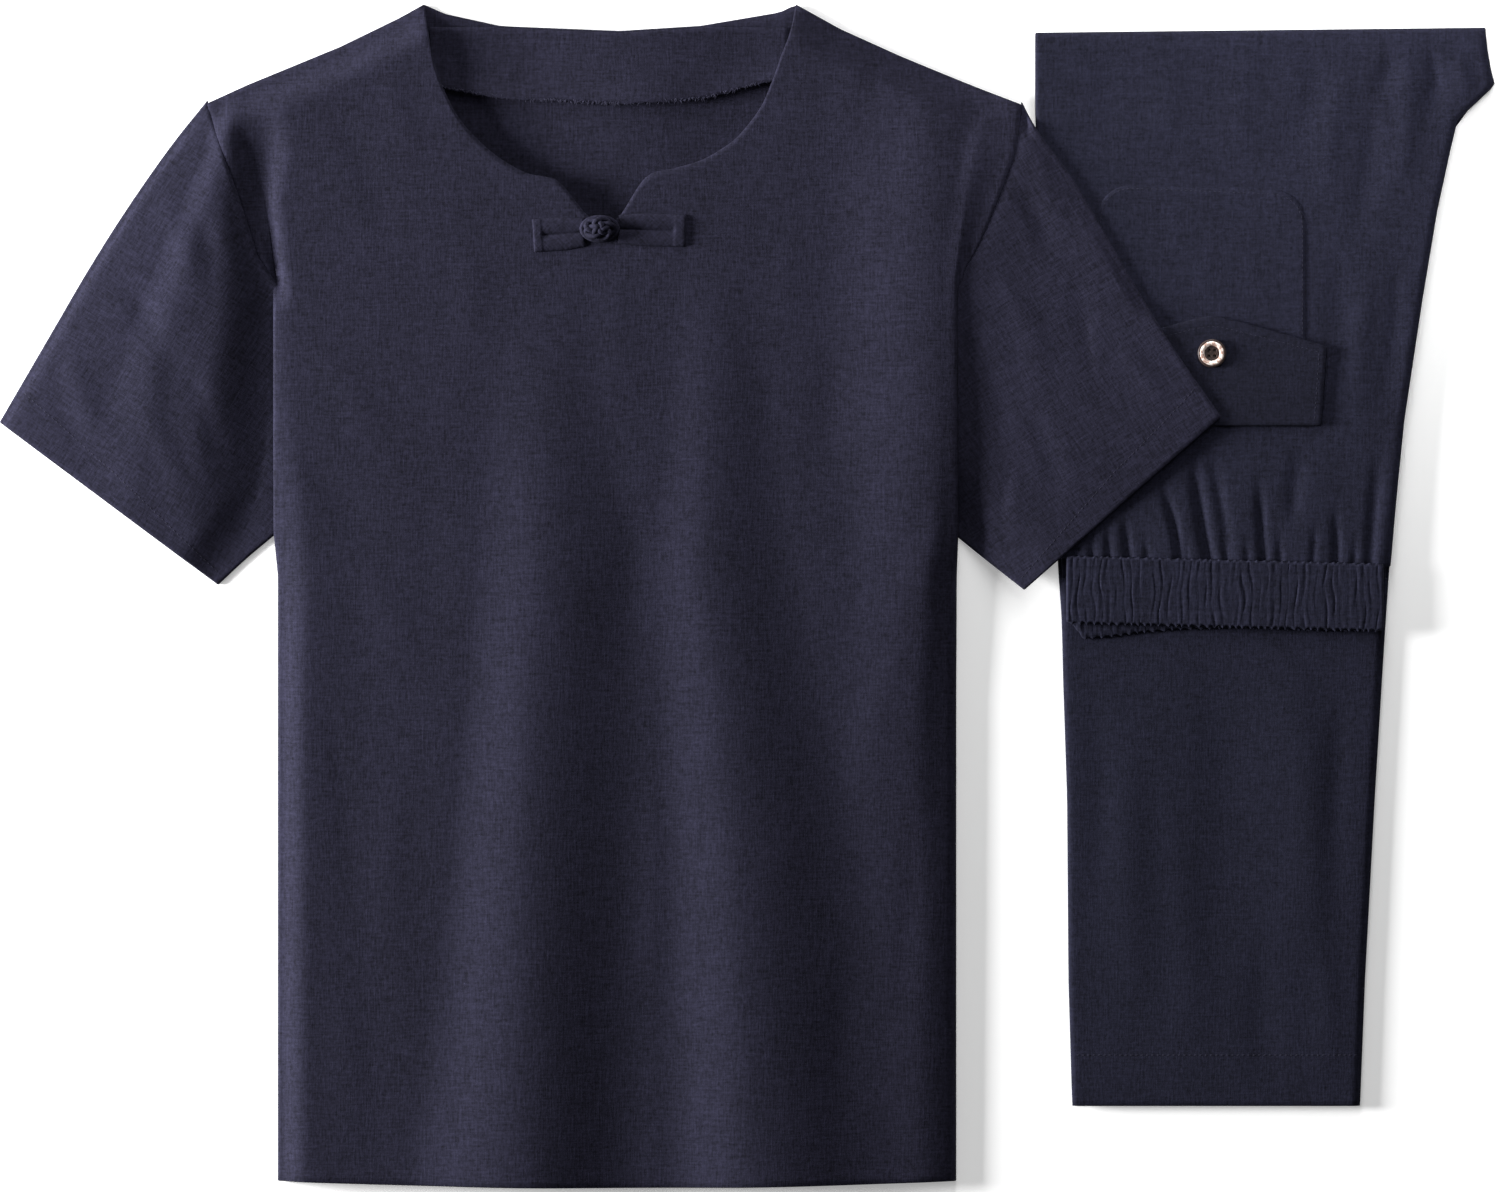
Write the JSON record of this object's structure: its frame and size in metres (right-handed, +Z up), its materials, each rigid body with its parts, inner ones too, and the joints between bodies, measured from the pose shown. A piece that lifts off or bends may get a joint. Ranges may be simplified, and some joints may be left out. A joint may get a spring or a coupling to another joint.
{
  "type": "tang suit set laid flat",
  "caption": "Short-sleeved linen tang top with a knot-and-loop fastening at its notched neck, laid flat beside folded elastic-waist trousers with a buttoned back pocket.",
  "frame": {"origin": "on the surface that the set lies on, under the middle of its outline", "axes": "+X across both garments towards the trousers, +Y towards the top's neck, +Z up from the surface"},
  "size_m": [0.8954, 0.7084, 0.0177],
  "materials": {
    "linen_top": "matt navy slub linen, plain weave",
    "linen_trousers": "matt navy slub linen, plain weave",
    "elastic_waist": "navy linen gathered over elastic",
    "frog_cord": "sewn cord of the same navy linen",
    "button": "dark button with a pale bronze ring"
  },
  "bodies": {
    "root": {"shirt_front": "linen_top", "shirt_back": "linen_top", "side_fold_left": "linen_top", "side_fold_right": "linen_top", "sleeve_left": "linen_top", "sleeve_right": "linen_top", "back_neck_facing": "linen_top", "frog_loop": "frog_cord", "frog_knob": "frog_cord", "frog_knot": "frog_cord", "right_leg_back": "linen_trousers", "left_leg_back": "linen_trousers", "folded_layers": "linen_trousers", "waistband_back": "elastic_waist", "waistband_front": "elastic_waist", "pocket_patch": "linen_trousers", "pocket_flap": "linen_trousers", "pocket_button": "button"}
  },
  "joints": []
}
